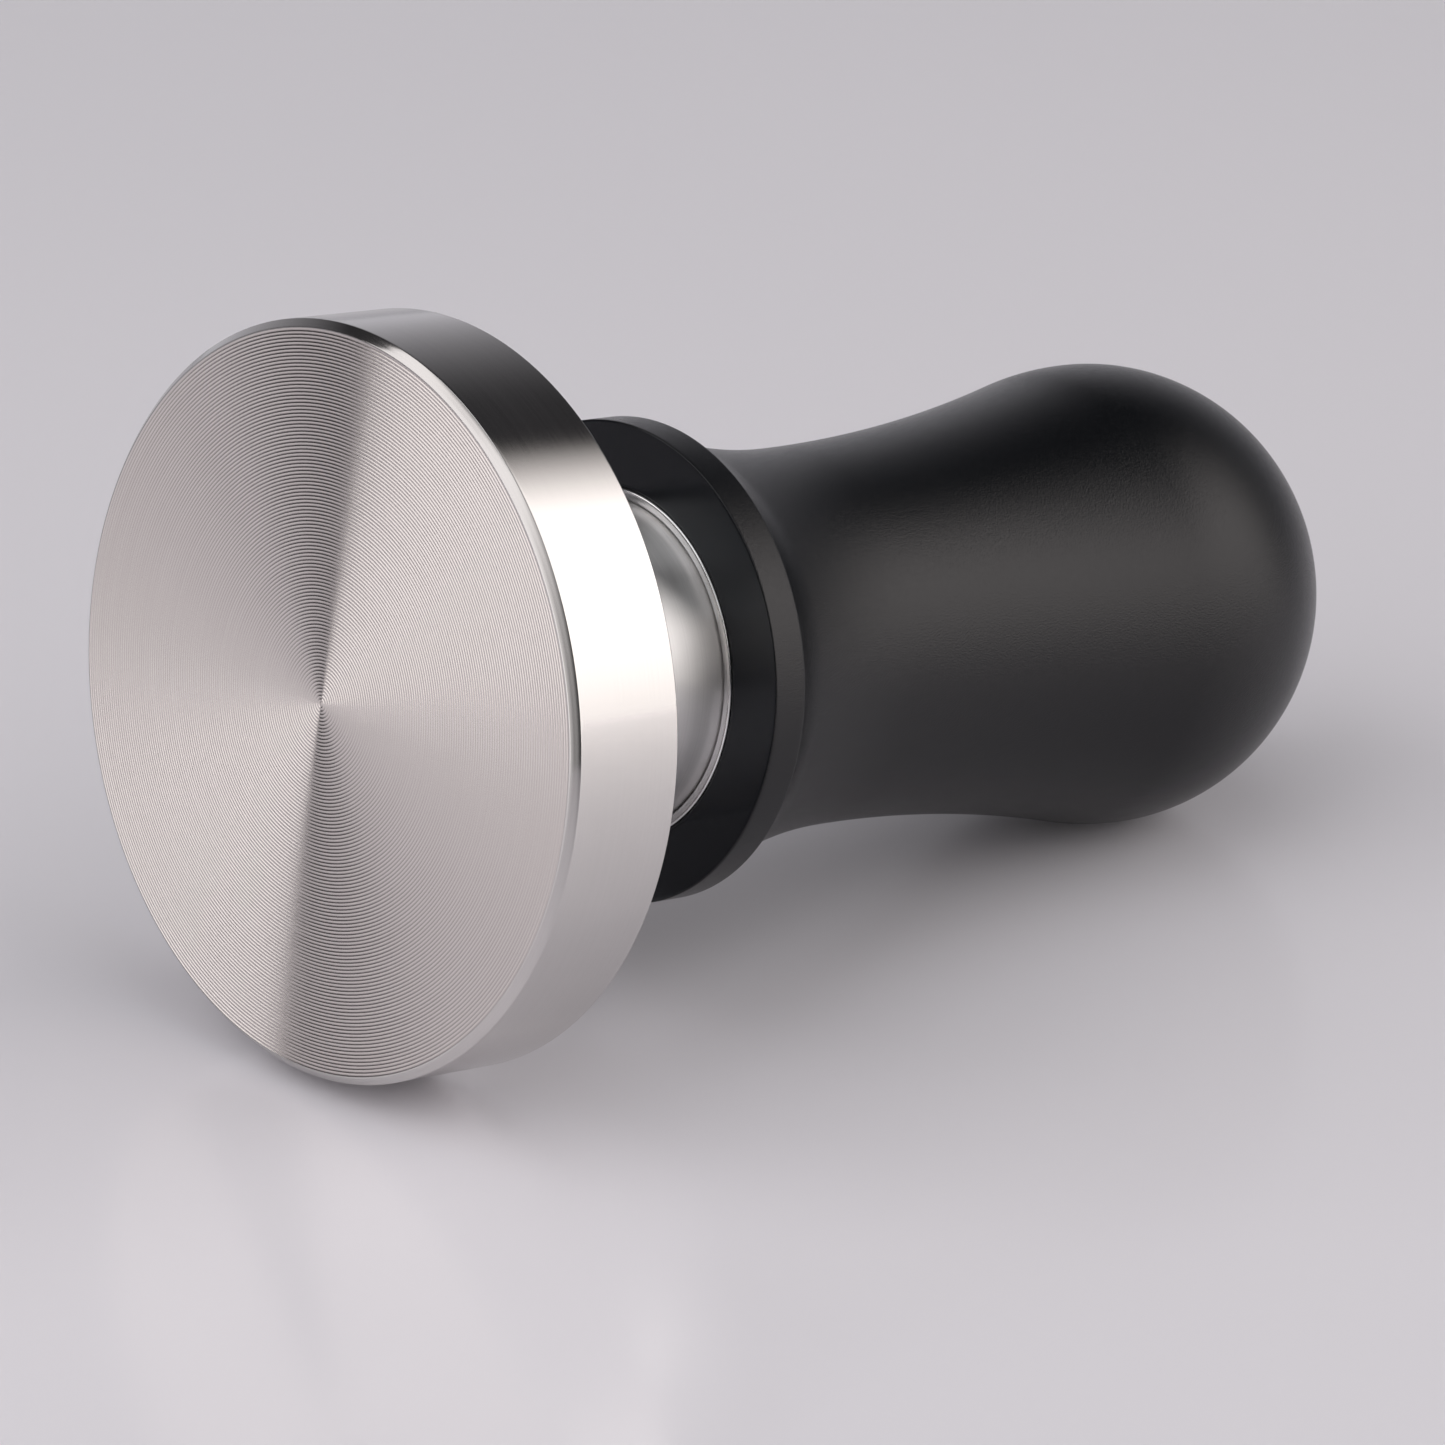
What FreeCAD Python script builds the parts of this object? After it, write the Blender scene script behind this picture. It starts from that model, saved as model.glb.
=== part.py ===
import FreeCAD, Part
import math
import os

# Spring-loaded espresso tamper, standing on its tamping face.
# Origin: centre of the tamping face. +Z runs up the axis to the knob. Millimetres.
# Everything is turned about Z, so most pieces are an outline of (radius, height) points spun round.

# Tamping base: a plain steel disc that screws onto the piston with a short spigot
base_radius = 29.0
base_thickness = 10.1
base_front_chamfer = 0.58
base_rear_chamfer = 0.15
spigot_radius = 10.0
spigot_height = 6.0
well_radius = 7.9
well_floor = 7.1
seal_radius = 11.5
seal_wire = 1.2
seal_squeeze = 0.54      # half width of the seal groove over the seal's wire
thread_run_out = 1.0

# Piston: a polished barrel with a web that the spring stands on
piston_radius = 12.95
piston_top = 52.0
head_room_radius = 8.6
web_low = 30.0
web_thickness = 5.0
cup_radius = 10.7
small_chamfer = 0.3
band_low = 48.4
band_height = 2.6
band_groove_radius = 12.2
band_play = 0.04
slit_width = 0.6
slit_depth = 3.0

# Handle: flange at the mouth, waisted grip, round knob. The grip's outline is four tangent arcs
handle_gap = 19.0
flange_radius = 18.9
flange_thickness = 3.0
flange_chamfer = 0.22
flare_arc = 9.2
lower_waist_arc = 43.0
waist_radius = 15.03
waist_height = 47.5
knob_side_arc = 23.0
knob_radius = 18.84
knob_height = 81.2
knob_end_arc = 18.34
main_bore_radius = 13.4
main_bore_top = 65.5
pocket_radius = 10.8

# Bright guide sleeve pressed into the mouth, standing a little proud of the flange
sleeve_wall = 0.9
sleeve_fit = 0.05
sleeve_proud = 0.25
sleeve_chamfer = 0.18
mouth_chamfer = 0.12
sleeve_top = 43.0

# Shoulder screw (8 mm shoulder, 6 mm thread) that holds the handle on against the spring
shoulder_radius = 4.0
shoulder_length = 50.0
head_radius = 6.5
head_height = 5.5
hex_across_flats = 4.0
hex_depth = 3.4
thread_radius = 3.0
thread_length = 11.0
shank_clearance = 0.25
washer_radius = 7.5
washer_thickness = 1.2
bumper_radius = 8.2
bumper_thickness = 2.0
insert_radius = 5.0
insert_length = 12.0
drill_depth = 13.2
drill_tip = 1.6
head_chamfer = 0.6
thread_chamfer = 0.8
relief_length = 1.2
relief_depth = 0.6
washer_clearance = 0.1
washer_chamfer = 0.15
bumper_clearance = 0.6
bumper_chamfer = 0.25
seat_clearance = 0.3
collar_chamfer = 0.5

# Spring stack
wire_diameter = 2.2
coil_radius = 8.5
active_coils = 8
closed_pitch = 2.25
seat_radius = 10.3
seat_thickness = 1.5
seat_collar_radius = 7.0
seat_collar_height = 2.8
shim_thickness = 0.5

ground_end = 0.35        # part of the wire ground off each end of the spring

# Free play between faces of pieces that can turn or slide on each other
face_play = 0.02

# Heights worked out from the sizes above
flange_low = base_thickness + handle_gap
flange_high = flange_low + flange_thickness
spigot_top = base_thickness + spigot_height
web_high = web_low + web_thickness
bumper_low = web_low - bumper_thickness
washer_high = bumper_low - face_play
washer_low = washer_high - washer_thickness
head_low = washer_low - head_height
shoulder_high = washer_low + shoulder_length
lower_seat_low = web_high + face_play
spring_low = lower_seat_low + seat_thickness
upper_seat_low = shoulder_high - shim_thickness - seat_thickness
spring_high = upper_seat_low - face_play
sleeve_bore = piston_radius + sleeve_fit
sleeve_radius = sleeve_bore + sleeve_wall


def vec(radius, height):
    """A point of an outline in the XZ half plane."""
    return FreeCAD.Vector(radius, 0, height)


def spin(edges):
    """Spin closed outline edges once round Z into a solid."""
    face = Part.Face(Part.Wire(edges))
    solid = face.revolve(FreeCAD.Vector(0, 0, 0), FreeCAD.Vector(0, 0, 1), 360)
    return solid if solid.Volume > 0 else solid.reversed()


def lines(points):
    """Straight edges through the points, in order."""
    corners = [vec(radius, height) for radius, height in points]
    return [Part.LineSegment(a, b).toShape() for a, b in zip(corners, corners[1:])]


def turned(points):
    """Spin a straight-sided outline, closed back to its first point."""
    return spin(lines(points + points[:1]))


def ring(inner, outer, low, high, chamfer=0.0):
    """A washer or sleeve, with its outer and inner edges broken by a chamfer."""
    if not chamfer:
        return turned([(inner, low), (outer, low), (outer, high), (inner, high)])
    return turned([
        (inner, low + chamfer), (inner + chamfer, low),
        (outer - chamfer, low), (outer, low + chamfer),
        (outer, high - chamfer), (outer - chamfer, high),
        (inner + chamfer, high), (inner, high - chamfer),
    ])


def base_plate():
    """Tamping disc with its threaded spigot, the well for the screw head and the seal groove."""
    groove_low = base_thickness - seal_wire
    groove_in = seal_radius - seal_squeeze * seal_wire
    groove_out = seal_radius + seal_squeeze * seal_wire
    return turned([
        (0, 0), (base_radius - base_front_chamfer, 0),
        (base_radius, base_front_chamfer),
        (base_radius, base_thickness - base_rear_chamfer),
        (base_radius - base_rear_chamfer, base_thickness),
        (groove_out, base_thickness), (groove_out, groove_low),
        (groove_in, groove_low), (groove_in, base_thickness),
        (spigot_radius, base_thickness),
        (spigot_radius, spigot_top - small_chamfer),
        (spigot_radius - small_chamfer, spigot_top),
        (well_radius + small_chamfer, spigot_top),
        (well_radius, spigot_top - small_chamfer),
        (well_radius, well_floor), (0, well_floor),
    ])


def base_seal():
    """Rubber O-ring that keeps the base from working loose on the piston."""
    wire = seal_wire / 2
    return Part.makeTorus(seal_radius, wire, FreeCAD.Vector(0, 0, base_thickness - wire))


def piston():
    """Barrel: threaded foot for the base, room for the screw head, web, and the spring's cup."""
    bore = shoulder_radius + shank_clearance
    band_high = band_low + band_height
    return turned([
        (spigot_radius, base_thickness), (piston_radius - small_chamfer, base_thickness),
        (piston_radius, base_thickness + small_chamfer),
        (piston_radius, band_low), (band_groove_radius, band_low),
        (band_groove_radius, band_high), (piston_radius, band_high),
        (piston_radius, piston_top - small_chamfer),
        (piston_radius - small_chamfer, piston_top),
        (cup_radius + small_chamfer, piston_top), (cup_radius, piston_top - small_chamfer),
        (cup_radius, web_high), (bore, web_high), (bore, web_low),
        (head_room_radius, web_low), (head_room_radius, spigot_top + thread_run_out),
        (spigot_radius, spigot_top + thread_run_out),
    ])


def guide_band():
    """Split plastic wear band in the groove near the piston's top, running in the handle's bore."""
    outer = main_bore_radius - band_play
    band = ring(band_groove_radius, outer, band_low + band_play, band_low + band_height - band_play)
    corner = FreeCAD.Vector(main_bore_radius - slit_depth, -slit_width / 2, band_low)
    slit = Part.makeBox(2 * slit_depth, slit_width, band_height, corner)
    return band.cut(slit)


def guide_sleeve():
    """Thin bright liner in the handle's mouth that the piston slides in."""
    return ring(sleeve_bore, sleeve_radius, flange_low - sleeve_proud, sleeve_top, sleeve_chamfer)


def arc_edge(centre, radius, begin, end):
    """Arc about a centre, between two angles measured from the outward radius towards +Z."""
    angles = (begin, (begin + end) / 2, end)
    points = [centre + vec(radius * math.cos(a), radius * math.sin(a)) for a in angles]
    return Part.Arc(*points).toShape()


def flare_and_lower_waist():
    """Flare behind the flange, then the lower waist, which is upright where it is narrowest."""
    root = vec(flange_radius, flange_high)
    waist_centre = vec(waist_radius + lower_waist_arc, waist_height)
    reach = waist_centre - root
    centres = lower_waist_arc - flare_arc
    cosine = (reach.Length ** 2 + centres ** 2 - flare_arc ** 2) / (2 * centres * reach.Length)
    turn = math.atan2(reach.z, reach.x) - math.acos(cosine)
    flare_centre = waist_centre - vec(centres * math.cos(turn), centres * math.sin(turn))
    to_root = root - flare_centre
    begin = math.atan2(to_root.z, to_root.x) % (2 * math.pi)
    return [
        arc_edge(flare_centre, flare_arc, begin, math.pi + turn),
        arc_edge(waist_centre, lower_waist_arc, math.pi + turn, math.pi),
    ]


def upper_waist_and_knob_side():
    """Ogee of two tangent arcs, upright at the waist and upright again at the knob."""
    rise = knob_height - waist_height
    turn = 2 * math.atan((knob_radius - waist_radius) / rise)
    upper_waist_arc = rise / math.sin(turn) - knob_side_arc
    waist_centre = vec(waist_radius + upper_waist_arc, waist_height)
    knob_centre = vec(knob_radius - knob_side_arc, knob_height)
    return [
        arc_edge(waist_centre, upper_waist_arc, math.pi, math.pi - turn),
        arc_edge(knob_centre, knob_side_arc, -turn, 0),
    ]


def knob_end():
    """Round end of the knob: one large arc that stops at a small flat on the axis."""
    centre = vec(knob_radius - knob_end_arc, knob_height)
    return [arc_edge(centre, knob_end_arc, 0, math.pi / 2)]


def handle():
    """Anodised handle, bored from the mouth for the sleeve, piston, spring and thread insert."""
    insert_high = shoulder_high + insert_length
    drill_high = shoulder_high + drill_depth
    knob_top = knob_height + knob_end_arc
    inside = [
        (0, knob_top), (0, drill_high + drill_tip), (thread_radius, drill_high),
        (thread_radius, insert_high), (insert_radius, insert_high),
        (insert_radius, shoulder_high), (pocket_radius, shoulder_high),
        (pocket_radius, main_bore_top), (main_bore_radius, main_bore_top),
        (main_bore_radius, sleeve_top), (sleeve_radius, sleeve_top),
        (sleeve_radius, flange_low + mouth_chamfer), (sleeve_radius + mouth_chamfer, flange_low),
        (flange_radius - flange_chamfer, flange_low),
        (flange_radius, flange_low + flange_chamfer), (flange_radius, flange_high),
    ]
    outside = flare_and_lower_waist() + upper_waist_and_knob_side() + knob_end()
    cap = lines([(knob_radius - knob_end_arc, knob_top), (0, knob_top)])
    return spin(lines(inside) + outside + cap)


def shoulder_screw():
    """Socket shoulder screw, head down in the piston, thread up in the handle."""
    relief_high = shoulder_high + relief_length
    relief_radius = thread_radius - relief_depth
    thread_high = shoulder_high + thread_length
    body = turned([
        (0, head_low), (head_radius - head_chamfer, head_low), (head_radius, head_low + head_chamfer),
        (head_radius, washer_low), (shoulder_radius, washer_low),
        (shoulder_radius, shoulder_high), (relief_radius, shoulder_high),
        (relief_radius, relief_high),
        (thread_radius, relief_high + relief_depth),
        (thread_radius, thread_high - thread_chamfer),
        (thread_radius - thread_chamfer, thread_high),
        (0, thread_high),
    ])
    corner = hex_across_flats / math.sqrt(3)
    angles = [math.radians(60 * step) for step in range(7)]
    hexagon = [FreeCAD.Vector(corner * math.cos(a), corner * math.sin(a), head_low) for a in angles]
    socket = Part.Face(Part.makePolygon(hexagon)).extrude(FreeCAD.Vector(0, 0, hex_depth))
    return body.cut(socket)


def thread_insert():
    """Steel thread insert set in the end of the handle's bore."""
    return ring(thread_radius, insert_radius, shoulder_high, shoulder_high + insert_length)


def screw_washer():
    """Steel washer under the screw head."""
    return ring(shoulder_radius + washer_clearance, washer_radius, washer_low, washer_high, washer_chamfer)


def bumper_washer():
    """Rubber washer on the underside of the web that takes the return knock."""
    return ring(shoulder_radius + bumper_clearance, bumper_radius, bumper_low, web_low, bumper_chamfer)


def spring_seat(face, side):
    """Plastic seat with a collar inside the coil; side is +1 for the lower seat, -1 for the upper."""
    bore = shoulder_radius + seat_clearance
    back = face - side * seat_thickness
    tip = face + side * seat_collar_height
    return turned([
        (bore, back), (seat_radius, back), (seat_radius, face), (seat_collar_radius, face),
        (seat_collar_radius, tip - side * collar_chamfer),
        (seat_collar_radius - collar_chamfer, tip), (bore, tip),
    ])


def preload_shim():
    """Steel shim between the handle and the upper seat that sets the spring's load."""
    bore = shoulder_radius + seat_clearance
    return ring(bore, seat_radius, shoulder_high - shim_thickness, shoulder_high)


def helix_run(low, pitch, turns):
    """Part of the coil's centre line, starting on the X axis at a height."""
    run = Part.makeHelix(pitch, pitch * turns, coil_radius)
    run.translate(FreeCAD.Vector(0, 0, low))
    return run.Edges


def spring():
    """Compression spring at its fitted length: one closed coil at each end, ground flat."""
    start = spring_low + ground_end * wire_diameter
    rise = spring_high - spring_low - 2 * ground_end * wire_diameter
    open_pitch = (rise - 2 * closed_pitch) / active_coils
    edges = helix_run(start, closed_pitch, 1)
    edges += helix_run(start + closed_pitch, open_pitch, active_coils)
    edges += helix_run(start + rise - closed_pitch, closed_pitch, 1)
    path = Part.Wire(edges)
    section = Part.makeCircle(wire_diameter / 2, FreeCAD.Vector(coil_radius, 0, start),
                              FreeCAD.Vector(0, 1, 0))
    coil = path.makePipeShell([Part.Wire(section)], True, True)
    ground = Part.makeCylinder(coil_radius + wire_diameter, spring_high - spring_low,
                               FreeCAD.Vector(0, 0, spring_low))
    return coil.common(ground)


pieces = {
    "base_plate": base_plate(),
    "base_seal": base_seal(),
    "piston": piston(),
    "guide_band": guide_band(),
    "bumper_washer": bumper_washer(),
    "lower_spring_seat": spring_seat(spring_low, 1),
    "spring": spring(),
    "upper_spring_seat": spring_seat(upper_seat_low, -1),
    "preload_shim": preload_shim(),
    "shoulder_screw": shoulder_screw(),
    "screw_washer": screw_washer(),
    "thread_insert": thread_insert(),
    "guide_sleeve": guide_sleeve(),
    "handle": handle(),
}

os.makedirs("parts", exist_ok=True)
for name, shape in pieces.items():
    solid = shape.Solids[0]
    solid.exportStep("parts/" + name + ".step")
    print(name, "solids", len(shape.Solids), "valid", solid.isValid(), "volume", round(solid.Volume, 1))
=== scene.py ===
import math

import bpy
import numpy as np
from mathutils import Matrix, Vector


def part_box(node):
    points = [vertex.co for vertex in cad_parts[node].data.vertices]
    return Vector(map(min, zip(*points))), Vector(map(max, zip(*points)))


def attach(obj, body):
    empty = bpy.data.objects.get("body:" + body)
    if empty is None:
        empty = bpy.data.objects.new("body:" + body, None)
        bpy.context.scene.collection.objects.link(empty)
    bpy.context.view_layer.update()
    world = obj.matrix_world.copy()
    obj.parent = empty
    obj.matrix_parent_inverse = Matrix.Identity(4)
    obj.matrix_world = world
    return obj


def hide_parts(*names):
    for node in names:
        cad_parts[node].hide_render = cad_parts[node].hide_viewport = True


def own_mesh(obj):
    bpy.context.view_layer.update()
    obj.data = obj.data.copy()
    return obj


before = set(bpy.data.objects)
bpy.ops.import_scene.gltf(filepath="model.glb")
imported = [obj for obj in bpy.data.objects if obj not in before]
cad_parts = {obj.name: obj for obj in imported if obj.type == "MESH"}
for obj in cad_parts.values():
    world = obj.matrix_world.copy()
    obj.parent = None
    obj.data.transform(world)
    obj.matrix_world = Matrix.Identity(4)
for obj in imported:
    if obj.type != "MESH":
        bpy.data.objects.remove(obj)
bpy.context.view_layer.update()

mm = 0.001
print("frame loaded:", len(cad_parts), "nodes")


def boxMm(node):
    # lowest and highest corner of a CAD node, in millimetres
    low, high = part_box(node)
    return [v / mm for v in low], [v / mm for v in high]


def arc(centreR, centreZ, radius, fromDeg, toDeg, steps):
    # circle about a centre: centre plus radius times (cos a, sin a), a in even steps
    a = np.radians(np.linspace(fromDeg, toDeg, steps + 1))
    return np.stack([centreR + radius * np.cos(a), centreZ + radius * np.sin(a)], 1)


def broken(corner, before, after, size, steps=3):
    # rounded corner: quadratic curve from size before the corner to size after it
    corner, before, after = (np.array(p, float) for p in (corner, before, after))
    a = corner + (before - corner) / np.linalg.norm(before - corner) * size
    b = corner + (after - corner) / np.linalg.norm(after - corner) * size
    t = np.linspace(0, 1, steps + 1)[:, None]
    return (1 - t) ** 2 * a + 2 * t * (1 - t) * corner + t ** 2 * b


def rounded(points, size, closed=True, guard=0.25):
    # outline with every corner rounded by size, and a guard ring just past each curve so flats stay flat
    count = len(points)
    out = []
    for i, p in enumerate(points):
        if not closed and i in (0, count - 1):
            out.append(np.array([p], float))
            continue
        before, after = points[i - 1], points[(i + 1) % count]
        room = 0.4 * min(math.dist(p, before), math.dist(p, after))
        s = min(size, room)
        curve = broken(p, before, after, s)
        reach = min(s + guard, room + 0.02)
        a = np.array(p) + (np.array(before) - p) / math.dist(p, before) * reach
        b = np.array(p) + (np.array(after) - p) / math.dist(p, after) * reach
        out.append(np.vstack([a, curve, b]) if reach > s * 1.05 else curve)
    return np.vstack(out)


def lathe(name, outline, turns, closed=True):
    # surface of revolution: (r, z) of the outline carried round Z, x = r cos a, y = r sin a
    # UV: u is the distance along the outline, v is the angle, both so that tangents run along the outline
    outline = np.array(outline, float)
    keep = np.r_[True, np.hypot(*np.diff(outline, axis=0).T) > 1e-5]
    outline = outline[keep]
    r, z = outline.T
    n = len(outline)
    a = np.arange(turns) * 2 * np.pi / turns
    x = r[:, None] * np.cos(a)
    y = r[:, None] * np.sin(a)
    verts = np.stack([x, y, np.repeat(z[:, None], turns, 1)], 2).reshape(-1, 3)
    index = np.arange(n * turns).reshape(n, turns)
    index[r < 1e-6] = index[r < 1e-6][:, :1]
    last = n if closed else n - 1
    i = np.arange(last)
    j = (i + 1) % n
    k = np.arange(turns)
    k2 = (k + 1) % turns
    quads = np.stack([index[i][:, k], index[i][:, k2], index[j][:, k2], index[j][:, k]], 2).reshape(-1, 4)
    along = np.r_[0, np.cumsum(np.hypot(*np.diff(np.vstack([outline, outline[:1]]), axis=0).T))]
    u = np.stack([along[i], along[i], along[i + 1], along[i + 1]], 1)[:, None, :].repeat(turns, 1)
    v = np.stack([k, k + 1, k + 1, k], 1)[None].repeat(last, 0) / turns
    uv = np.stack([u, v], 3).reshape(-1, 4, 2)
    rowOf = np.repeat(i, turns)
    # drop the zero edge at a pole, so that pole faces are triangles
    first = quads[:, 0] == quads[:, 1]
    second = quads[:, 2] == quads[:, 3]
    good = ~(first & second)
    quads, uv, rowOf = quads[good], uv[good], rowOf[good]
    first, second = first[good], second[good]
    sizes = np.where(first | second, 3, 4)
    mask = np.ones((len(quads), 4), bool)
    mask[first, 1] = False
    mask[second, 3] = False
    loops = quads[mask]
    used, loops = np.unique(loops, return_inverse=True)
    mesh = bpy.data.meshes.new(name)
    mesh.vertices.add(len(used))
    mesh.vertices.foreach_set("co", (verts[used] * mm).ravel())
    mesh.loops.add(len(loops))
    mesh.loops.foreach_set("vertex_index", loops.ravel().astype(np.int32))
    mesh.polygons.add(len(sizes))
    mesh.polygons.foreach_set("loop_start", np.r_[0, np.cumsum(sizes)[:-1]].astype(np.int32))
    mesh.polygons.foreach_set("loop_total", sizes.astype(np.int32))
    mesh.uv_layers.new(name="UVMap").data.foreach_set("uv", uv[mask].ravel())
    mesh.update(calc_edges=True)
    mesh.validate()
    mesh.polygons.foreach_set("use_smooth", np.ones(len(mesh.polygons), bool))
    piece = bpy.data.objects.new(name, mesh)
    bpy.context.scene.collection.objects.link(piece)
    return piece, outline, rowOf


def paintRows(piece, outline, rowOf, rule):
    # material index of each ring of faces, from the ring's mid (r, z)
    mid = (outline + np.roll(outline, -1, 0)) / 2
    slots = rule(mid[:, 0], mid[:, 1]).astype(np.int32)
    piece.data.polygons.foreach_set("material_index", slots[rowOf])


def sharpRings(piece, radii):
    # ring edges in the plane z = 0 at these radii keep their two sides apart in the shading
    mesh = piece.data
    place = np.empty(len(mesh.vertices) * 3)
    mesh.vertices.foreach_get("co", place)
    place = place.reshape(-1, 3) / mm
    ends = np.empty(len(mesh.edges) * 2, np.int32)
    mesh.edges.foreach_get("vertices", ends)
    ends = ends.reshape(-1, 2)
    r = np.hypot(place[:, 0], place[:, 1])
    level = (np.abs(place[:, 2]) < 1e-4) & (np.abs(r[:, None] - radii).min(1) < 0.002)
    same = np.abs(r[ends[:, 0]] - r[ends[:, 1]]) < 0.002
    sharp = level[ends[:, 0]] & level[ends[:, 1]] & same
    mesh.attributes.new("sharp_edge", "BOOLEAN", "EDGE").data.foreach_set("value", sharp)


def stands(piece, node, body, slotName, *materials):
    # a new piece takes a CAD node's place, its body and its finish
    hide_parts(node)
    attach(piece, body)
    for m in materials:
        piece.data.materials.append(m)
    print("piece", piece.name, "triangles", sum(len(p.vertices) - 2 for p in piece.data.polygons))


def newMaterial(name):
    material = bpy.data.materials.new(name)
    material.use_nodes = True
    tree = material.node_tree
    return material, tree, tree.nodes["Principled BSDF"]


def add(tree, kind, **inputs):
    # one node, with its sockets or settings given by name
    node = tree.nodes.new(kind)
    for key, value in inputs.items():
        if key in node.inputs:
            if isinstance(value, bpy.types.NodeSocket):
                tree.links.new(value, node.inputs[key])
            else:
                node.inputs[key].default_value = value
        else:
            setattr(node, key, value)
    return node


def mathNode(tree, operation, a, b=0.0, c=0.0):
    node = tree.nodes.new("ShaderNodeMath")
    node.operation = operation
    for socket, value in zip(node.inputs, (a, b, c)):
        if isinstance(value, bpy.types.NodeSocket):
            tree.links.new(value, socket)
        else:
            socket.default_value = value
    return node.outputs[0]


def spread(tree, value, low, high, fromLow=0.3, fromHigh=0.7):
    # stretch a noise value to a range of a shader's own
    node = add(tree, "ShaderNodeMapRange")
    tree.links.new(value, node.inputs["Value"])
    for key, v in (("From Min", fromLow), ("From Max", fromHigh), ("To Min", low), ("To Max", high)):
        node.inputs[key].default_value = v
    return node.outputs["Result"]


def noise(tree, vector, scale, detail=3.0, roughness=0.5):
    node = add(tree, "ShaderNodeTexNoise", Scale=scale, Detail=detail, Roughness=roughness)
    tree.links.new(vector, node.inputs["Vector"])
    return node.outputs["Fac"]


def tinted(tree, value, dark, light):
    # colour that runs from dark to light with a value between 0 and 1
    node = add(tree, "ShaderNodeValToRGB")
    node.color_ramp.elements[0].color = (*dark, 1)
    node.color_ramp.elements[1].color = (*light, 1)
    tree.links.new(value, node.inputs["Fac"])
    return node.outputs["Color"]


def bumped(tree, shader, height, distance, strength=1.0):
    node = add(tree, "ShaderNodeBump", Strength=strength, Distance=distance)
    tree.links.new(height, node.inputs["Height"])
    tree.links.new(node.outputs["Normal"], shader.inputs["Normal"])


def objectSpace(tree, scale=(1, 1, 1)):
    coords = add(tree, "ShaderNodeTexCoord")
    mapping = add(tree, "ShaderNodeMapping")
    mapping.inputs["Scale"].default_value = scale
    tree.links.new(coords.outputs["Object"], mapping.inputs["Vector"])
    return mapping.outputs["Vector"]


def uvSpace(tree, scale=(1, 1, 1)):
    coords = add(tree, "ShaderNodeUVMap", uv_map="UVMap")
    mapping = add(tree, "ShaderNodeMapping")
    mapping.inputs["Scale"].default_value = scale
    tree.links.new(coords.outputs["UV"], mapping.inputs["Vector"])
    return mapping.outputs["Vector"]


def latheSteel(name, look):
    # turned or polished stainless: fine rings along the outline, highlights drawn out across them
    material, tree, shader = newMaterial(name)
    shader.inputs["Metallic"].default_value = 1.0
    shader.inputs["Anisotropic"].default_value = look["stretch"]
    shader.inputs["IOR"].default_value = 2.2
    tangent = add(tree, "ShaderNodeTangent", direction_type="UV_MAP", uv_map="UVMap")
    tree.links.new(tangent.outputs["Tangent"], shader.inputs["Tangent"])
    rings = noise(tree, uvSpace(tree, (look["ringScale"], 0.6, 1)), 1.0, 4.0, 0.6)
    smears = noise(tree, objectSpace(tree), look["smearScale"], 3.0, 0.55)
    both = mathNode(tree, "MULTIPLY_ADD", rings, 0.65, mathNode(tree, "MULTIPLY", smears, 0.35))
    tree.links.new(spread(tree, both, *look["rough"]), shader.inputs["Roughness"])
    colour = tinted(tree, spread(tree, both, 0, 1), look["dark"], look["light"])
    tree.links.new(colour, shader.inputs["Base Color"])
    if look["bite"]:
        bumped(tree, shader, rings, look["bite"] * mm)
    return material


def blackAnodised(name, look):
    # dyed anodising over bead-blasted aluminium: deep black with a grey sheen and a fine grain
    material, tree, shader = newMaterial(name)
    where = objectSpace(tree)
    grain = noise(tree, where, look["grainScale"], 2.0, 0.6)
    cloud = noise(tree, where, look["cloudScale"], 3.0, 0.5)
    shader.inputs["IOR"].default_value = look["ior"]
    shader.inputs["Specular Tint"].default_value = (*look["sheen"], 1)
    mixed = mathNode(tree, "MULTIPLY_ADD", grain, 0.5, mathNode(tree, "MULTIPLY", cloud, 0.5))
    tree.links.new(spread(tree, mixed, *look["rough"]), shader.inputs["Roughness"])
    tree.links.new(tinted(tree, cloud, look["dark"], look["light"]), shader.inputs["Base Color"])
    bumped(tree, shader, grain, look["bite"] * mm)
    return material


def plainFinish(name, look):
    # hidden pieces: a mottled colour, worn roughness and a fine tool or mould texture
    material, tree, shader = newMaterial(name)
    where = objectSpace(tree, look.get("stretchXyz", (1, 1, 1)))
    mottle = noise(tree, where, look["scale"], 4.0, 0.6)
    shader.inputs["Metallic"].default_value = look["metal"]
    tree.links.new(tinted(tree, mottle, look["dark"], look["light"]), shader.inputs["Base Color"])
    tree.links.new(spread(tree, mottle, *look["rough"]), shader.inputs["Roughness"])
    bumped(tree, shader, mottle, look["bite"] * mm)
    return material


faceSteel = latheSteel("turnedFaceSteel", {
    "stretch": 0.9, "rough": (0.15, 0.21), "ringScale": 5.0, "smearScale": 60.0, "bite": 0.0,
    "dark": (0.612, 0.568, 0.548), "light": (0.670, 0.626, 0.606)})
rimSteel = latheSteel("groundRimSteel", {
    "stretch": 0.7, "rough": (0.10, 0.16), "ringScale": 9.0, "smearScale": 90.0, "bite": 0.0,
    "dark": (0.535, 0.518, 0.508), "light": (0.588, 0.571, 0.561)})
mirrorSteel = latheSteel("polishedPistonSteel", {
    "stretch": 1.0, "rough": (0.28, 0.33), "ringScale": 7.0, "smearScale": 260.0, "bite": 0.0,
    "dark": (0.76, 0.75, 0.745), "light": (0.87, 0.86, 0.855)})
sleeveSteel = latheSteel("brightSleeveSteel", {
    "stretch": 0.3, "rough": (0.10, 0.24), "ringScale": 9.0, "smearScale": 900.0, "bite": 0.0,
    "dark": (0.74, 0.74, 0.74), "light": (0.90, 0.90, 0.90)})
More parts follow.
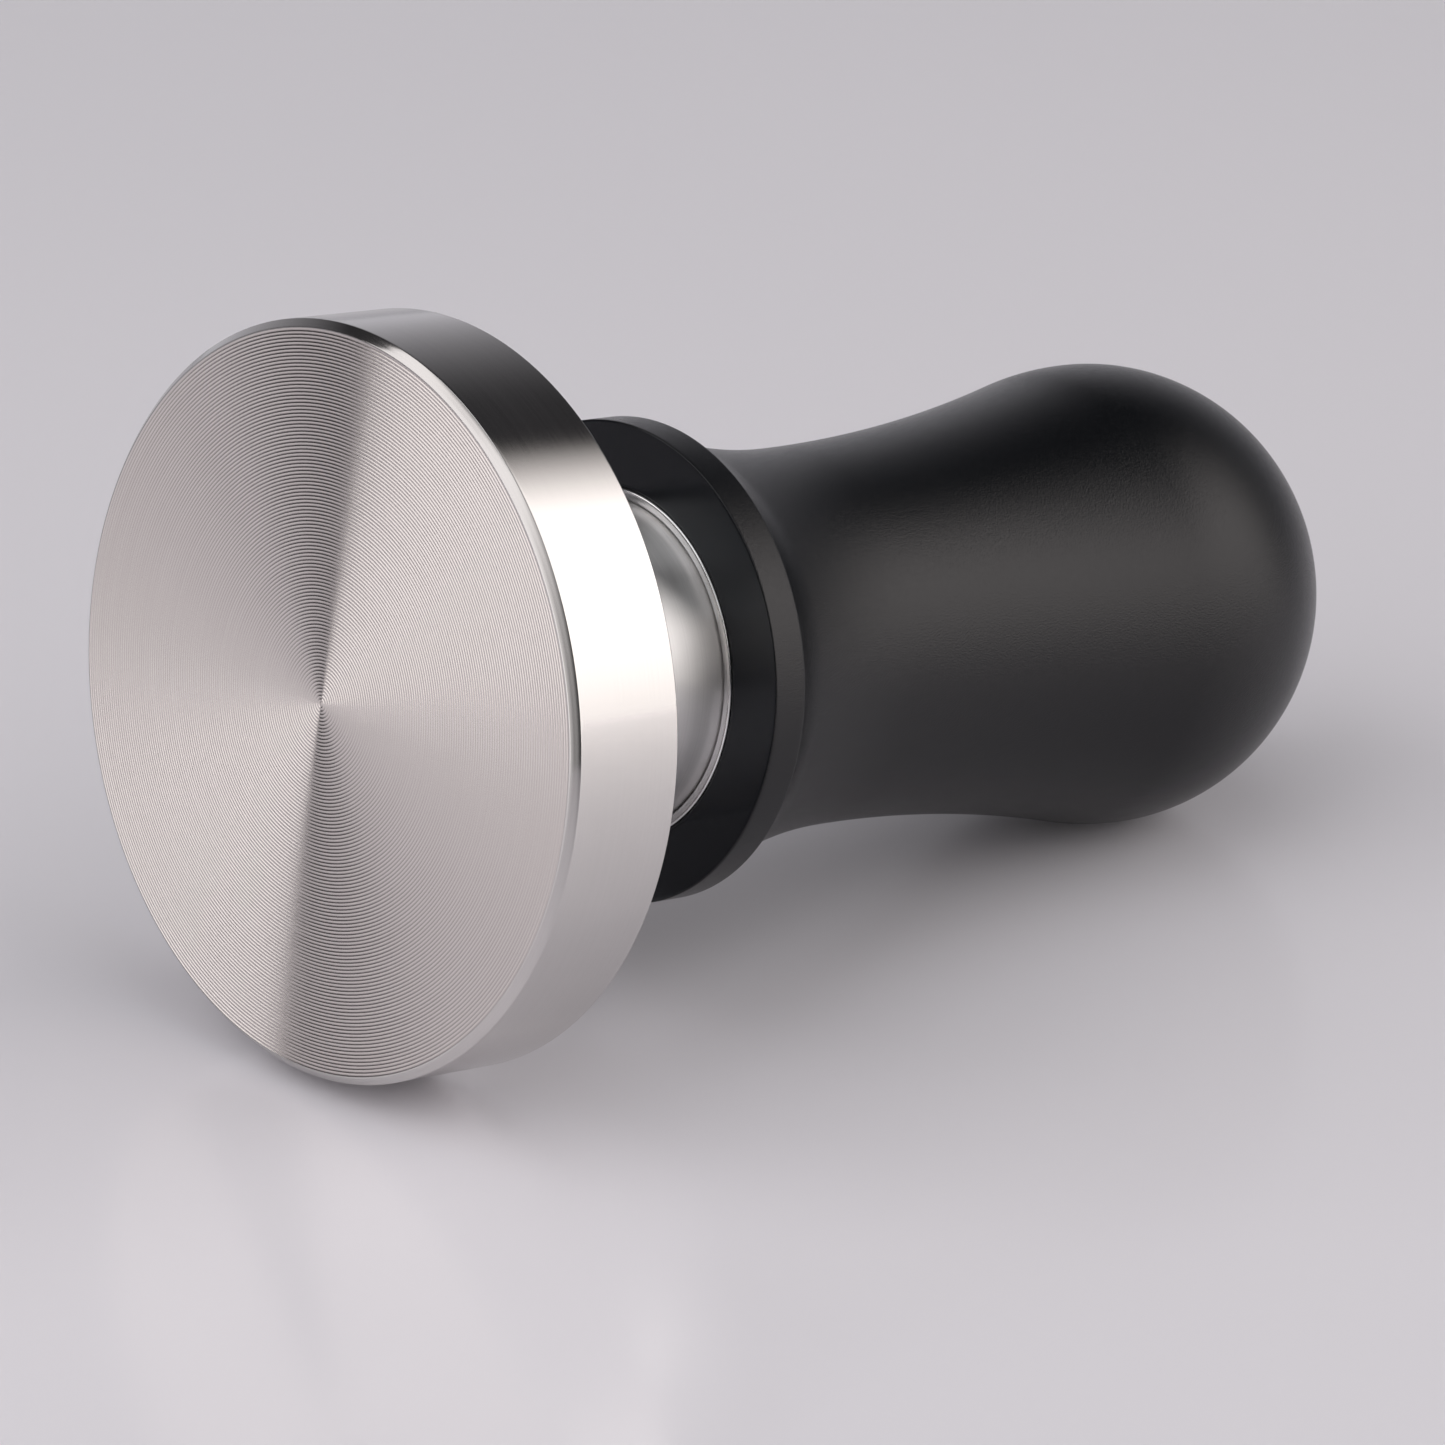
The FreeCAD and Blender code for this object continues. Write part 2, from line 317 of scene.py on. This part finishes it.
gripBlack = blackAnodised("blastedBlack", {
    "rough": (0.22, 0.27), "grainScale": 7500.0, "cloudScale": 60.0, "bite": 0.036, "ior": 1.41,
    "dark": (0.0004, 0.0010, 0.0018), "light": (0.0008, 0.0016, 0.0028), "sheen": (1.0, 0.975, 0.985)})
faceBlack = blackAnodised("turnedBlack", {
    "rough": (0.15, 0.20), "grainScale": 2500.0, "cloudScale": 60.0, "bite": 0.002, "ior": 1.48,
    "dark": (0.0022, 0.0030, 0.0052), "light": (0.0030, 0.0042, 0.0070), "sheen": (0.9, 0.95, 1.0)})
screwSteel = plainFinish("screwSteel", {
    "metal": 1.0, "scale": 900.0, "rough": (0.22, 0.38), "bite": 0.006,
    "dark": (0.36, 0.36, 0.37), "light": (0.50, 0.50, 0.51), "stretchXyz": (1, 1, 4)})
wireSteel = plainFinish("springWire", {
    "metal": 1.0, "scale": 700.0, "rough": (0.2, 0.34), "bite": 0.004,
    "dark": (0.26, 0.27, 0.29), "light": (0.42, 0.43, 0.45)})
sealRubber = plainFinish("sealRubber", {
    "metal": 0.0, "scale": 1400.0, "rough": (0.55, 0.75), "bite": 0.01,
    "dark": (0.012, 0.012, 0.012), "light": (0.028, 0.028, 0.028)})
seatNylon = plainFinish("seatNylon", {
    "metal": 0.0, "scale": 800.0, "rough": (0.38, 0.52), "bite": 0.006,
    "dark": (0.50, 0.49, 0.45), "light": (0.62, 0.61, 0.57)})
print("finishes ready")


baseDims = {"groovePitch": 0.269, "toolNose": 0.323, "frontChamfer": 0.58, "rearChamfer": 0.15,
            "spigotRadius": 10.0, "wellRadius": 7.9, "wellFloor": 7.1, "sealRadius": 11.5, "sealWire": 1.2,
            "sealSqueeze": 0.54, "faceMargin": 0.12, "stepsPerFurrow": 4, "edge": 0.04, "turns": 192}


def groovedFace(radius, d):
    # turned face: each furrow is the parabola that a round tool nose leaves, depth = (half pitch squared
    # minus x squared) over twice the nose radius, four steps a furrow, with a sharp crest between furrows
    pitch, steps, margin = d["groovePitch"], d["stepsPerFurrow"], d["faceMargin"]
    furrows = int((radius - margin) / pitch)
    step = np.arange(furrows * steps, -1, -1)
    r = radius - margin - step * pitch / steps
    x = np.where(step % steps == 0, pitch / 2, np.abs(((step % steps) - steps / 2) * pitch / steps))
    z = ((pitch / 2) ** 2 - x ** 2) / (2 * d["toolNose"])
    return np.vstack([[0, 0], np.stack([r, z], 1)[r > margin]])


def tampingBase(d):
    # disc turned about Z: furrowed face, chamfered rim, rear face with the seal's groove, hollow spigot
    low, high = boxMm("base_plate")
    radius, top = high[0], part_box("base_seal")[1].z / mm
    spigotTop = high[2]
    faceR = radius - d["frontChamfer"]
    beyond = faceR - d["faceMargin"] + 0.01    # just outside the last crest
    half = d["sealSqueeze"] * d["sealWire"]
    grooveIn, grooveOut = d["sealRadius"] - half, d["sealRadius"] + half
    body = [(faceR, 0), (radius, d["frontChamfer"]), (radius, top - d["rearChamfer"]),
            (radius - d["rearChamfer"], top), (grooveOut, top), (grooveOut, top - d["sealWire"]),
            (grooveIn, top - d["sealWire"]), (grooveIn, top), (d["spigotRadius"], top),
            (d["spigotRadius"], spigotTop), (d["wellRadius"], spigotTop), (d["wellRadius"], d["wellFloor"])]
    lead = (faceR - 3, 0)    # only gives the first corner its direction
    outline = rounded([lead] + body + [(0, d["wellFloor"])], d["edge"], closed=False)[1:]
    face = groovedFace(faceR, d)
    outline = np.vstack([face, outline[(outline[:, 1] > 1e-6) | (outline[:, 0] > beyond)]])
    outline = np.vstack([outline, [0, d["wellFloor"]]])
    piece, outline, rowOf = lathe("tampingBase", outline, d["turns"], closed=False)
    paintRows(piece, outline, rowOf, lambda r, z: (z > 0.1) | (r > beyond))
    crests = (outline[:, 1] < 1e-6) & (outline[:, 0] < beyond)
    sharpRings(piece, outline[crests, 0])
    stands(piece, "base_plate", "base", "turned_steel", faceSteel, rimSteel)


tampingBase(baseDims)


pistonDims = {"spigotRadius": 10.0, "threadTop": 17.1, "headRoom": 8.6, "webLow": 30.0, "webHigh": 35.0,
              "bore": 4.25, "cup": 10.7, "bandLow": 48.4, "bandHigh": 51.0, "bandGroove": 12.2,
              "edge": 0.25, "turns": 192}


def pistonBarrel(d):
    # barrel turned about Z: foot thread, room for the screw head, web, spring cup and wear band groove
    low, high = boxMm("piston")
    outline = [(d["spigotRadius"], low[2]), (high[0], low[2]), (high[0], d["bandLow"]),
               (d["bandGroove"], d["bandLow"]), (d["bandGroove"], d["bandHigh"]), (high[0], d["bandHigh"]),
               (high[0], high[2]), (d["cup"], high[2]), (d["cup"], d["webHigh"]), (d["bore"], d["webHigh"]),
               (d["bore"], d["webLow"]), (d["headRoom"], d["webLow"]), (d["headRoom"], d["threadTop"]),
               (d["spigotRadius"], d["threadTop"])]
    piece, outline, rowOf = lathe("pistonBarrel", rounded(outline, d["edge"]), d["turns"])
    stands(piece, "piston", "base", "polished_steel", mirrorSteel)


pistonBarrel(pistonDims)


sleeveDims = {"bore": 13.0, "lead": 0.28, "edge": 0.2, "turns": 192}


def guideLiner(d):
    # thin tube turned about Z, with a lead at the lower end of its bore
    low, high = boxMm("guide_sleeve")
    outline = [(d["bore"] + d["lead"], low[2]), (high[0], low[2]), (high[0], high[2]), (d["bore"], high[2]),
               (d["bore"], low[2] + d["lead"])]
    piece, outline, rowOf = lathe("guideLiner", rounded(outline, d["edge"], guard=0.1), d["turns"])
    stands(piece, "guide_sleeve", "grip", "bright_sleeve", sleeveSteel)


guideLiner(sleeveDims)


handleDims = {"flangeRadius": 18.9, "flangeThickness": 3.0, "flareArc": 9.2, "lowerWaistArc": 43.0,
              "waistRadius": 15.03, "waistHeight": 47.5, "knobSideArc": 23.0, "knobRadius": 18.84,
              "knobHeight": 81.2, "knobEndArc": 18.34, "sleeveBore": 13.9, "mainBore": 13.4,
              "sleeveTop": 43.0, "mainBoreTop": 65.5, "pocket": 10.8, "insertBore": 5.0, "threadBore": 3.0,
              "drillDepth": 13.2, "drillTip": 1.6, "flangeEdge": 0.14, "arcSteps": (14, 14, 30, 10, 44),
              "turns": 256}


def gripOutline(d, flangeHigh):
    # outside of the grip: flare, lower waist, upper waist, knob side and knob end, five arcs
    # that share their tangents; the turn of each ogee follows from the radii it joins
    root = np.array([d["flangeRadius"], flangeHigh])
    waist = np.array([d["waistRadius"] + d["lowerWaistArc"], d["waistHeight"]])
    reach, centres = waist - root, d["lowerWaistArc"] - d["flareArc"]
    length = np.hypot(*reach)
    cosine = (length ** 2 + centres ** 2 - d["flareArc"] ** 2) / (2 * centres * length)
    turn = math.atan2(reach[1], reach[0]) - math.acos(cosine)
    flare = waist - centres * np.array([math.cos(turn), math.sin(turn)])
    begin = math.degrees(math.atan2(root[1] - flare[1], root[0] - flare[0])) % 360
    rise = d["knobHeight"] - d["waistHeight"]
    ogee = 2 * math.atan((d["knobRadius"] - d["waistRadius"]) / rise)
    upper = rise / math.sin(ogee) - d["knobSideArc"]
    turnDeg, ogeeDeg = math.degrees(turn), math.degrees(ogee)
    steps = d["arcSteps"]
    return np.vstack([
        arc(*flare, d["flareArc"], begin, 180 + turnDeg, steps[0])[1:],
        arc(*waist, d["lowerWaistArc"], 180 + turnDeg, 180, steps[1])[1:],
        arc(d["waistRadius"] + upper, d["waistHeight"], upper, 180, 180 - ogeeDeg, steps[2])[1:],
        arc(d["knobRadius"] - d["knobSideArc"], d["knobHeight"], d["knobSideArc"], -ogeeDeg, 0, steps[3])[1:],
        arc(d["knobRadius"] - d["knobEndArc"], d["knobHeight"], d["knobEndArc"], 0, 90, steps[4])[1:]])


def gripHandle(d):
    # handle turned about Z: stepped bore from the drill tip down to the mouth, flange, then the grip's arcs
    low, high = boxMm("handle")
    mouth, flangeHigh = low[2], low[2] + d["flangeThickness"]
    shoulder = boxMm("preload_shim")[1][2]
    insertTop = boxMm("thread_insert")[1][2]
    drill = shoulder + d["drillDepth"]
    inside = [(0, drill + d["drillTip"]), (d["threadBore"], drill), (d["threadBore"], insertTop),
              (d["insertBore"], insertTop), (d["insertBore"], shoulder), (d["pocket"], shoulder),
              (d["pocket"], d["mainBoreTop"]), (d["mainBore"], d["mainBoreTop"]),
              (d["mainBore"], d["sleeveTop"]), (d["sleeveBore"], d["sleeveTop"]), (d["sleeveBore"], mouth),
              (d["flangeRadius"], mouth), (d["flangeRadius"], flangeHigh),
              (d["flangeRadius"] - 2, flangeHigh + 2)]    # the last point only aims the edge
    outline = rounded(inside, d["flangeEdge"], closed=False, guard=0.2)[:-1]
    grip = gripOutline(d, flangeHigh)
    outline = outline[~((outline[:, 1] > flangeHigh + 0.001) & (outline[:, 0] > d["sleeveBore"] + 1))]
    outline = np.vstack([outline, grip, [0, high[2]]])
    piece, outline, rowOf = lathe("gripHandle", outline, d["turns"], closed=False)
    paintRows(piece, outline, rowOf, lambda r, z: z < mouth + 0.02)
    stands(piece, "handle", "grip", "black_anodised", gripBlack, faceBlack)


gripHandle(handleDims)


springDims = {"wire": 2.2, "groundEnd": 0.35, "coilRadius": 8.5, "closedPitch": 2.25, "activeCoils": 8,
              "stepsPerCoil": 48, "stepsRound": 16, "travel": 12.0}


def springCoil(d):
    # tube along a helix: x = R cos t, y = R sin t, z follows a closed turn, the open turns, a closed turn;
    # the section is a circle in the plane of the radius and Z, pressed flat at the ground ends
    low, high = boxMm("spring")
    turns = d["activeCoils"] + 2
    t = np.linspace(0, turns, turns * d["stepsPerCoil"] + 1)
    rise = high[2] - low[2] - 2 * d["groundEnd"] * d["wire"]
    z = low[2] + d["groundEnd"] * d["wire"] + np.interp(
        t, [0, 1, turns - 1, turns], [0, d["closedPitch"], rise - d["closedPitch"], rise])
    a = np.linspace(0, 2 * np.pi, d["stepsRound"], endpoint=False)
    radial = d["coilRadius"] + d["wire"] / 2 * np.cos(a)
    x = radial * np.cos(2 * np.pi * t)[:, None]
    y = radial * np.sin(2 * np.pi * t)[:, None]
    zz = np.clip(z[:, None] + d["wire"] / 2 * np.sin(a), low[2], high[2])
    verts = np.stack([x, y, zz], 2).reshape(-1, 3)
    n, m = len(t), d["stepsRound"]
    i, k = np.meshgrid(np.arange(n - 1), np.arange(m), indexing="ij")
    k2 = (k + 1) % m
    quads = np.stack([i * m + k, (i + 1) * m + k, (i + 1) * m + k2, i * m + k2], 2).reshape(-1, 4)
    ends = [list(range(m)), list(range((n - 1) * m, n * m))[::-1]]
    mesh = bpy.data.meshes.new("springCoil")
    mesh.from_pydata((verts * mm).tolist(), [], quads.tolist() + ends)
    mesh.polygons.foreach_set("use_smooth", np.ones(len(mesh.polygons), bool))
    piece = bpy.data.objects.new("springCoil", mesh)
    bpy.context.scene.collection.objects.link(piece)
    stands(piece, "spring", "spring_pack", "spring_wire", wireSteel)
    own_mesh(piece)


springCoil(springDims)


hiddenFinish = {"base_seal": sealRubber, "bumper_washer": sealRubber, "guide_band": seatNylon,
                "lower_spring_seat": seatNylon, "upper_spring_seat": seatNylon, "preload_shim": screwSteel,
                "shoulder_screw": screwSteel, "screw_washer": screwSteel, "thread_insert": screwSteel}
for nodeName, finish in hiddenFinish.items():
    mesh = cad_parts[nodeName].data
    mesh.materials.clear()
    mesh.materials.append(finish)
print("hidden pieces finished:", len(hiddenFinish))


# the tamper lies on its side, touching the floor with its base's rear edge and its knob
studio = {"towardFloorDeg": 135.0, "baseTouch": (29.0, 10.1), "knobTouch": (18.66, 83.75),
          "eye": (421.497, 186.899, -368.884), "aim": (-6.985, 3.455, 44.037),
          "lens": 195.63, "sensor": 36.0, "floorSize": 6000.0}


def floorNormal(s):
    # unit normal of the plane that touches the base and the knob, square to the line between the two
    side = math.radians(s["towardFloorDeg"])
    out = Vector((-math.cos(side), -math.sin(side), 0))
    drop = s["baseTouch"][0] - s["knobTouch"][0]
    along = s["knobTouch"][1] - s["baseTouch"][1]
    return (out * along - Vector((0, 0, 1)) * drop).normalized()


up = floorNormal(studio)
eye, aim = Vector(studio["eye"]) * mm, Vector(studio["aim"]) * mm
ahead = (aim - eye).normalized()
ahead = (ahead - up * ahead.dot(up)).normalized()
right = ahead.cross(up)
touchRadius, touchHeight = studio["baseTouch"]
touch = -Vector((up.x, up.y, 0)).normalized() * touchRadius + Vector((0, 0, touchHeight))
floorPoint = touch * mm
heart = Vector((0, 0, 45 * mm))


def facing(forward, top):
    # rotation that looks along forward with top upwards: columns are right, up and back
    back = -forward.normalized()
    side = top.cross(back).normalized()
    return Matrix((side, back.cross(side), back)).transposed().to_4x4()


def makeCamera(s):
    data = bpy.data.cameras.new("camera")
    data.lens, data.sensor_width = s["lens"], s["sensor"]
    data.clip_start, data.clip_end = 0.01, 20
    camera = bpy.data.objects.new("camera", data)
    camera.matrix_world = Matrix.Translation(eye) @ facing(aim - eye, up)
    bpy.context.scene.collection.objects.link(camera)
    bpy.context.scene.camera = camera


floorLook = {"dark": (0.862, 0.843, 0.891), "light": (0.896, 0.877, 0.924), "driftScale": 2.2,
             "rough": (0.13, 0.19), "roughScale": 9.0, "ior": 1.47}


def floorMaterial(look):
    # pale glossy board with faint drifts of tone, clear when seen from underneath
    material, tree, shader = newMaterial("paleBoard")
    where = objectSpace(tree)
    drift = noise(tree, where, look["driftScale"], 3.0, 0.5)
    wear = noise(tree, where, look["roughScale"], 2.0, 0.5)
    tree.links.new(tinted(tree, drift, look["dark"], look["light"]), shader.inputs["Base Color"])
    tree.links.new(spread(tree, wear, *look["rough"]), shader.inputs["Roughness"])
    shader.inputs["IOR"].default_value = look["ior"]
    geometry = add(tree, "ShaderNodeNewGeometry")
    clear = add(tree, "ShaderNodeBsdfTransparent")
    mix = add(tree, "ShaderNodeMixShader")
    tree.links.new(geometry.outputs["Backfacing"], mix.inputs["Fac"])
    tree.links.new(shader.outputs["BSDF"], mix.inputs[1])
    tree.links.new(clear.outputs["BSDF"], mix.inputs[2])
    tree.links.new(mix.outputs["Shader"], tree.nodes["Material Output"].inputs["Surface"])
    return material


def makeFloor(s):
    half = s["floorSize"] / 2 * mm
    signs = ((-1, -1), (1, -1), (1, 1), (-1, 1))
    corners = [floorPoint + ahead * (half * b) + right * (half * a) for a, b in signs]
    mesh = bpy.data.meshes.new("floor")
    mesh.from_pydata([tuple(c) for c in corners], [], [(0, 1, 2, 3)])
    mesh.materials.append(floorMaterial(floorLook))
    floor = bpy.data.objects.new("floor", mesh)
    bpy.context.scene.collection.objects.link(floor)


def toward(azimuth, elevation):
    # direction by azimuth from straight ahead towards the right, and elevation above the floor
    a, e = math.radians(azimuth), math.radians(elevation)
    return (ahead * math.cos(a) + right * math.sin(a)) * math.cos(e) + up * math.sin(e)


def lightMaterial(name, look):
    # even glow that fades towards the panel's sides: u runs along azimuth and v along elevation, both 0 to 1
    material = bpy.data.materials.new(name)
    material.use_nodes = True
    tree = material.node_tree
    tree.nodes.clear()
    uv = add(tree, "ShaderNodeUVMap", uv_map="UVMap")
    parts = add(tree, "ShaderNodeSeparateXYZ")
    tree.links.new(uv.outputs["UV"], parts.inputs["Vector"])
    left = spread(tree, parts.outputs["X"], 0, 1, 0, look["softLeft"])
    far = spread(tree, parts.outputs["X"], 1, 0, 1 - look["softRight"], 1)
    top = spread(tree, parts.outputs["Y"], 1, 0, 1 - look["softTop"], 1)
    level = mathNode(tree, "MULTIPLY", mathNode(tree, "MULTIPLY", left, far), top)
    if look["hotMiddle"]:    # lamp inside the box: brighter half way up
        rise = spread(tree, parts.outputs["Y"], 0, look["hotMiddle"], 0.05, 0.5)
        fall = spread(tree, parts.outputs["Y"], 1, 0, 0.72, 1)
        level = mathNode(tree, "MULTIPLY", level, mathNode(tree, "MULTIPLY_ADD", rise, fall, 1.0))
    glow = add(tree, "ShaderNodeEmission")
    glow.inputs["Color"].default_value = (*look["colour"], 1)
    tree.links.new(mathNode(tree, "MULTIPLY", level, look["radiance"]), glow.inputs["Strength"])
    out = add(tree, "ShaderNodeOutputMaterial")
    tree.links.new(glow.outputs["Emission"], out.inputs["Surface"])
    return material


def lightPanel(name, look):
    # part of a sphere about the tamper: heart + distance times toward(azimuth, elevation), on an even grid
    # whose sides lean out with the square of the height, as the edges of a box that tips forward do
    wide, tall = look["grid"]
    u, v = np.meshgrid(np.linspace(0, 1, wide + 1), np.linspace(0, 1, tall + 1), indexing="ij")
    start, end = (look["azimuth"][k] + look["lean"][k] * v ** 2 for k in (0, 1))
    azimuth = np.radians(start + (end - start) * u)
    low, high = look["elevation"][0], look["elevation"][1] - look["sag"] * u ** 2
    elevation = np.radians(low + (high - low) * v)
    flat = np.cos(azimuth)[..., None] * np.array(ahead) + np.sin(azimuth)[..., None] * np.array(right)
    ray = np.cos(elevation)[..., None] * flat + np.sin(elevation)[..., None] * np.array(up)
    verts = np.array(heart) + look["distance"] * ray
    i, k = np.meshgrid(np.arange(wide), np.arange(tall), indexing="ij")
    row, after = i * (tall + 1) + k, (i + 1) * (tall + 1) + k
    quads = np.stack([row, row + 1, after + 1, after], 2).reshape(-1, 4)
    mesh = bpy.data.meshes.new(name)
    mesh.from_pydata(verts.reshape(-1, 3).tolist(), [], quads.tolist())
    where = np.stack([u, v], 2).reshape(-1, 2)
    mesh.uv_layers.new(name="UVMap").data.foreach_set("uv", where[quads.ravel()].ravel())
    mesh.materials.append(lightMaterial(name, look))
    panel = bpy.data.objects.new(name, mesh)
    panel.visible_camera = False
    bpy.context.scene.collection.objects.link(panel)


def makeWorld(look):
    # dim room with a pale backdrop ahead that fades upwards, and pale walls all round to look at
    world = bpy.data.worlds.new("room")
    bpy.context.scene.world = world
    world.use_nodes = True
    tree = world.node_tree
    ground = tree.nodes["Background"]
    coords = add(tree, "ShaderNodeTexCoord")

    def along(vector):
        node = add(tree, "ShaderNodeVectorMath", operation="DOT_PRODUCT")
        tree.links.new(coords.outputs["Generated"], node.inputs[0])
        node.inputs[1].default_value = vector
        return node.outputs["Value"]

    height = spread(tree, along(up), 1, 0, look["fadeFrom"], look["fadeTo"])
    front = spread(tree, along(ahead), 0, 1, look["edgeFrom"], look["edgeTo"])
    glow = mathNode(tree, "MULTIPLY", height, front)
    wane = spread(tree, along(right), 1, look["rightShare"], 0, math.sin(math.radians(60)))
    glow = mathNode(tree, "MULTIPLY", glow, wane)
    level = mathNode(tree, "MULTIPLY_ADD", glow, look["backdrop"] - look["room"], look["room"])
    ground.inputs["Color"].default_value = (*look["colour"], 1)
    seen = add(tree, "ShaderNodeLightPath").outputs["Is Camera Ray"]
    extra = mathNode(tree, "MAXIMUM", mathNode(tree, "SUBTRACT", look["seenDirectly"], level), 0.0)
    tree.links.new(mathNode(tree, "MULTIPLY_ADD", seen, extra, level), ground.inputs["Strength"])


makeCamera(studio)
makeFloor(studio)
lightPanel("rightBox", {"azimuth": (61, 138), "lean": (-20, 4), "elevation": (-1.2, 51), "sag": 15,
                        "grid": (32, 16), "distance": 1.3, "softLeft": 0.24,
                        "softRight": 0.02, "softTop": 0.03, "radiance": 1.72,
                        "hotMiddle": 0.4, "colour": (1.0, 0.955, 0.935)})
lightPanel("leftBox", {"azimuth": (-178, -88.5), "lean": (0, 44), "elevation": (-1.2, 68), "sag": 0,
                       "grid": (32, 16), "distance": 1.3, "softLeft": 0.22,
                       "softRight": 0.004, "softTop": 0.1, "radiance": 1.45,
                       "hotMiddle": 0.0, "colour": (1.0, 0.975, 0.975)})
lightPanel("rearFill", {"azimuth": (104, 182), "lean": (0, 0), "elevation": (38, 69), "sag": 0,
                        "grid": (32, 16), "distance": 1.32, "softLeft": 0.05,
                        "softRight": 0.05, "softTop": 0.02, "radiance": 0.6,
                        "hotMiddle": 0.0, "colour": (0.98, 0.99, 1.0)})
lightPanel("overhead", {"azimuth": (-180, 180), "lean": (0, 0), "elevation": (69, 90), "sag": 0,
                        "grid": (32, 16), "distance": 1.3, "softLeft": 0.001,
                        "softRight": 0.001, "softTop": 0.001, "radiance": 1.0,
                        "hotMiddle": 0.0, "colour": (0.98, 0.985, 1.0)})
makeWorld({"backdrop": 0.62, "rightShare": 0.28, "room": 0.035, "seenDirectly": 0.56, "fadeFrom": 0.05,
           "fadeTo": 0.62, "edgeFrom": 0.30, "edgeTo": 0.44, "colour": (1.0, 0.985, 1.05)})
bpy.context.scene.view_settings.view_transform = "Standard"
print("studio ready")
